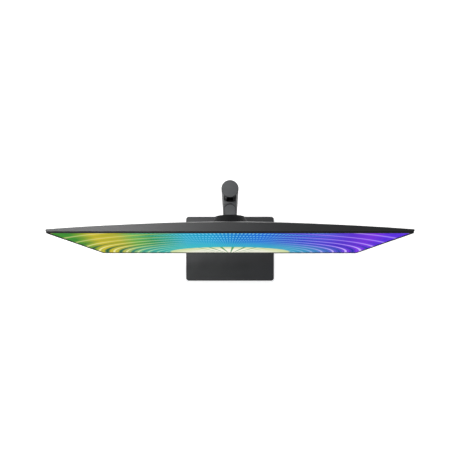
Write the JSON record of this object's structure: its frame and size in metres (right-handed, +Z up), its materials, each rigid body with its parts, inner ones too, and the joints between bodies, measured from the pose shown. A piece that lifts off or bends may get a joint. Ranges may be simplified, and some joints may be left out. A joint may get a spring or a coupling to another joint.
{
  "type": "desktop computer monitor",
  "caption": "Flat wide-screen desktop monitor on a round-column stand; the screen raises, lowers, swivels, tilts and turns to portrait.",
  "frame": {"origin": "middle of the base plate's footprint, on the surface that the feet stand on, below the middle of the box in X", "axes": "+X to the right of someone facing the screen, +Y towards the back, +Z up; the screen faces -Y"},
  "size_m": [0.716, 0.21, 0.6403],
  "materials": {
    "painted_shell": "satin painted moulding",
    "dark_plastic": "fine moulded texture",
    "black_gloss": "polished black moulding",
    "stand_paint": "fine powder coat",
    "base_paint": "fine powder coat",
    "steel": "bare pressed steel",
    "zinc": "zinc plated",
    "black_screws": "blackened steel",
    "spring_steel": "polished strip",
    "rubber_feet": "matt",
    "nylon": "natural acetal",
    "screen": "lit display behind an anti-glare film",
    "film": "optical film",
    "acrylic": "clear acrylic light guide",
    "reflector": "white reflector",
    "board": "solder-masked board",
    "led_lens": "clear lens"
  },
  "bodies": {
    "stand": {"base_plate": "base_paint", "base_tray": "dark_plastic", "base_feet": "rubber_feet", "column_screws": "zinc", "column_foot": "steel", "column_shell": "stand_paint", "column_core": "black_gloss", "column_cap": "stand_paint", "cable_grommet": "dark_plastic", "spool_axle": "steel", "spring_ribbon": "spring_steel"},
    "spool": {"lift_spool": "nylon", "spring_coil": "spring_steel"},
    "carriage": {"carriage": "dark_plastic", "slide_pads": "nylon", "arm_collar": "stand_paint"},
    "arm": {"arm_yoke": "steel", "arm_cover_top": "stand_paint", "arm_cover_bottom": "stand_paint", "swivel_pin": "steel", "swivel_nut": "zinc", "swivel_washers": "nylon"},
    "head": {"tilt_bracket": "steel", "tilt_shaft": "steel", "tilt_washers": "nylon", "tilt_nuts": "zinc", "head_cover": "dark_plastic", "head_screws": "black_screws", "pivot_friction_ring": "nylon"},
    "display": {"mount_plate": "steel", "pivot_shaft": "steel", "pivot_clip": "steel", "mount_screws": "black_screws", "rear_cover": "painted_shell", "front_frame": "dark_plastic", "chin_strip": "dark_plastic", "status_led": "led_lens", "lcd_cell": "screen", "diffuser_sheets": "film", "light_guide": "acrylic", "led_bar": "board", "reflector_sheet": "reflector", "back_chassis": "steel", "wall_mount_bracket": "zinc", "port_bay": "dark_plastic", "wide_video_sockets": "zinc", "keyed_video_socket": "zinc", "slim_data_socket": "zinc", "data_sockets": "zinc", "audio_socket": "black_gloss", "power_inlet": "black_gloss", "main_board": "board", "board_posts": "zinc", "backlight_board": "board", "speakers": "dark_plastic", "lock_plate": "steel", "jog_housing": "dark_plastic"},
    "jog_ring": {"jog_gimbal": "dark_plastic"},
    "jog_stick": {"jog_stem": "dark_plastic"},
    "jog_button": {"jog_cap": "black_gloss"}
  },
  "joints": [
    {"name": "height", "type": "slide", "parent": "stand", "child": "carriage", "axis": [0, 0, 1], "range_m": [-0.12, 0], "deforming": ["spring_ribbon"]},
    {"name": "spool_turn", "type": "hinge", "parent": "stand", "child": "spool", "pos_m": [0, 0.084, 0.478], "axis": [1, 0, 0], "range_deg": [-900, 5]},
    {"name": "swivel", "type": "hinge", "parent": "carriage", "child": "arm", "pos_m": [0, 0.0434, 0.428], "axis": [0, 0, 1], "range_deg": [-30, 30]},
    {"name": "tilt", "type": "hinge", "parent": "arm", "child": "head", "pos_m": [0, 0.022, 0.428], "axis": [-1, 0, 0], "range_deg": [-2, 20]},
    {"name": "pivot", "type": "hinge", "parent": "head", "child": "display", "pos_m": [0, 0.0062, 0.428], "axis": [0, 1, 0], "range_deg": [0, 90]},
    {"name": "jog_up_down", "type": "hinge", "parent": "display", "child": "jog_ring", "pos_m": [0.23, -0.0255, 0.252], "axis": [1, 0, 0], "range_deg": [-6, 6], "stiffness_Nm_per_rad": 0.08},
    {"name": "jog_left_right", "type": "hinge", "parent": "jog_ring", "child": "jog_stick", "pos_m": [0.23, -0.0255, 0.252], "axis": [0, 0, 1], "range_deg": [-6, 6], "stiffness_Nm_per_rad": 0.08},
    {"name": "jog_press", "type": "slide", "parent": "jog_stick", "child": "jog_button", "axis": [0, -1, 0], "range_m": [0, 0.0005], "stiffness_N_per_m": 1500}
  ],
  "couplings": [
    {"joint": "spool_turn", "follows": "height", "rad_per_m": 117.6}
  ]
}
